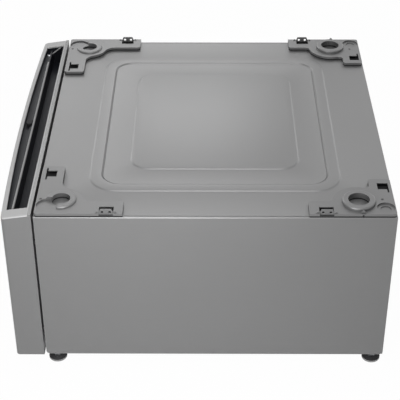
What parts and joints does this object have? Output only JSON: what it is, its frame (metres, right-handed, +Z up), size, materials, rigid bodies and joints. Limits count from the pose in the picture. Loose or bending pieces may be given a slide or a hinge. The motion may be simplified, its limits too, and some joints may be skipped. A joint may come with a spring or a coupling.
{
  "type": "washer pedestal drawer",
  "caption": "Low steel laundry pedestal with a bowed full-width drawer front, a grip pocket along its top edge, an embossed top sheet and raised corner plates",
  "frame": {"origin": "floor level, at the centre of the whole footprint, drawer front included", "axes": "-Y is the drawer front and the way the drawer opens, +X is across the width to the viewer's right when facing the front, +Z is up from the floor"},
  "size_m": [0.686, 0.715, 0.3635],
  "materials": {
    "cabinet_paint": "satin graphite grey paint on folded sheet steel",
    "bracket_paint": "the cabinet's grey paint on pressed plates",
    "front_paint": "satin graphite grey paint on the drawer front",
    "cap_plastic": "light grey moulding, fine texture",
    "strip_plastic": "mid grey moulding",
    "liner_plastic": "blue-black moulding, fine texture",
    "plug_rubber": "black",
    "bin_steel": "light grey paint",
    "rail_steel": "zinc plated",
    "slide_steel": "bright zinc plated",
    "ball_steel": "polished balls in a steel cage",
    "screw_steel": "zinc plated",
    "foot_rubber": "dark grey, dull",
    "stud_steel": "zinc plated thread",
    "bumper_rubber": "dull black"
  },
  "bodies": {
    "cabinet": {"base_rail_front": "rail_steel", "base_rail_rear": "rail_steel", "bracket_rivets": "screw_steel", "corner_bracket_front_left": "bracket_paint", "corner_bracket_front_right": "bracket_paint", "corner_bracket_rear_left": "bracket_paint", "corner_bracket_rear_right": "bracket_paint", "drawer_bumpers": "bumper_rubber", "foot_nuts": "stud_steel", "foot_plates": "rail_steel", "rear_panel": "cabinet_paint", "side_panel_left": "cabinet_paint", "side_panel_right": "cabinet_paint", "slide_bracket_left": "rail_steel", "slide_bracket_right": "rail_steel", "slide_outer_left": "slide_steel", "slide_outer_right": "slide_steel", "slide_screws": "screw_steel", "top_panel": "cabinet_paint", "top_rail_front": "rail_steel"},
    "drawer": {"front_skin": "front_paint", "front_core": "rail_steel", "front_cap": "cap_plastic", "grip_liner": "liner_plastic", "grip_strip": "strip_plastic", "grip_plug": "plug_rubber", "front_base": "liner_plastic", "bin_floor": "bin_steel", "bin_side_right": "bin_steel", "bin_side_left": "bin_steel", "bin_front": "bin_steel", "bin_back": "bin_steel", "slide_inner_right": "slide_steel", "slide_inner_left": "slide_steel", "drawer_screws": "screw_steel"},
    "slide_middle_right": {"slide_middle_right": "slide_steel"},
    "cage_outer_right": {"ball_cage_outer_right": "ball_steel"},
    "cage_inner_right": {"ball_cage_inner_right": "ball_steel"},
    "slide_middle_left": {"slide_middle_left": "slide_steel"},
    "cage_outer_left": {"ball_cage_outer_left": "ball_steel"},
    "cage_inner_left": {"ball_cage_inner_left": "ball_steel"},
    "foot_front_right": {"foot_pad_front_right": "foot_rubber"},
    "stud_front_right": {"foot_stud_front_right": "stud_steel"},
    "foot_front_left": {"foot_pad_front_left": "foot_rubber"},
    "stud_front_left": {"foot_stud_front_left": "stud_steel"},
    "foot_rear_right": {"foot_pad_rear_right": "foot_rubber"},
    "stud_rear_right": {"foot_stud_rear_right": "stud_steel"},
    "foot_rear_left": {"foot_pad_rear_left": "foot_rubber"},
    "stud_rear_left": {"foot_stud_rear_left": "stud_steel"}
  },
  "joints": [
    {"name": "drawer_slide", "type": "slide", "parent": "cabinet", "child": "drawer", "axis": [0, -1, 0], "range_m": [0, 0.48]},
    {"name": "middle_run_right", "type": "slide", "parent": "cabinet", "child": "slide_middle_right", "axis": [0, -1, 0], "range_m": [0, 0.24]},
    {"name": "outer_cage_run_right", "type": "slide", "parent": "cabinet", "child": "cage_outer_right", "axis": [0, -1, 0], "range_m": [0, 0.12]},
    {"name": "inner_cage_run_right", "type": "slide", "parent": "cabinet", "child": "cage_inner_right", "axis": [0, -1, 0], "range_m": [0, 0.36]},
    {"name": "middle_run_left", "type": "slide", "parent": "cabinet", "child": "slide_middle_left", "axis": [0, -1, 0], "range_m": [0, 0.24]},
    {"name": "outer_cage_run_left", "type": "slide", "parent": "cabinet", "child": "cage_outer_left", "axis": [0, -1, 0], "range_m": [0, 0.12]},
    {"name": "inner_cage_run_left", "type": "slide", "parent": "cabinet", "child": "cage_inner_left", "axis": [0, -1, 0], "range_m": [0, 0.36]},
    {"name": "foot_height_front_right", "type": "slide", "parent": "cabinet", "child": "foot_front_right", "axis": [0, 0, -1], "range_m": [0, 0.015]},
    {"name": "stud_turn_front_right", "type": "hinge", "parent": "foot_front_right", "child": "stud_front_right", "pos_m": [0.324, -0.2715, 0.02], "axis": [0, 0, -1], "range_deg": [0, 3600]},
    {"name": "foot_height_front_left", "type": "slide", "parent": "cabinet", "child": "foot_front_left", "axis": [0, 0, -1], "range_m": [0, 0.015]},
    {"name": "stud_turn_front_left", "type": "hinge", "parent": "foot_front_left", "child": "stud_front_left", "pos_m": [-0.324, -0.2715, 0.02], "axis": [0, 0, -1], "range_deg": [0, 3600]},
    {"name": "foot_height_rear_right", "type": "slide", "parent": "cabinet", "child": "foot_rear_right", "axis": [0, 0, -1], "range_m": [0, 0.015]},
    {"name": "stud_turn_rear_right", "type": "hinge", "parent": "foot_rear_right", "child": "stud_rear_right", "pos_m": [0.324, 0.3385, 0.02], "axis": [0, 0, -1], "range_deg": [0, 3600]},
    {"name": "foot_height_rear_left", "type": "slide", "parent": "cabinet", "child": "foot_rear_left", "axis": [0, 0, -1], "range_m": [0, 0.015]},
    {"name": "stud_turn_rear_left", "type": "hinge", "parent": "foot_rear_left", "child": "stud_rear_left", "pos_m": [-0.324, 0.3385, 0.02], "axis": [0, 0, -1], "range_deg": [0, 3600]}
  ],
  "couplings": [
    {"joint": "middle_run_right", "follows": "drawer_slide", "ratio": 0.5},
    {"joint": "outer_cage_run_right", "follows": "drawer_slide", "ratio": 0.25},
    {"joint": "inner_cage_run_right", "follows": "drawer_slide", "ratio": 0.75},
    {"joint": "middle_run_left", "follows": "drawer_slide", "ratio": 0.5},
    {"joint": "outer_cage_run_left", "follows": "drawer_slide", "ratio": 0.25},
    {"joint": "inner_cage_run_left", "follows": "drawer_slide", "ratio": 0.75},
    {"joint": "stud_turn_front_right", "follows": "foot_height_front_right", "rad_per_m": 4188.8},
    {"joint": "stud_turn_front_left", "follows": "foot_height_front_left", "rad_per_m": 4188.8},
    {"joint": "stud_turn_rear_right", "follows": "foot_height_rear_right", "rad_per_m": 4188.8},
    {"joint": "stud_turn_rear_left", "follows": "foot_height_rear_left", "rad_per_m": 4188.8}
  ]
}
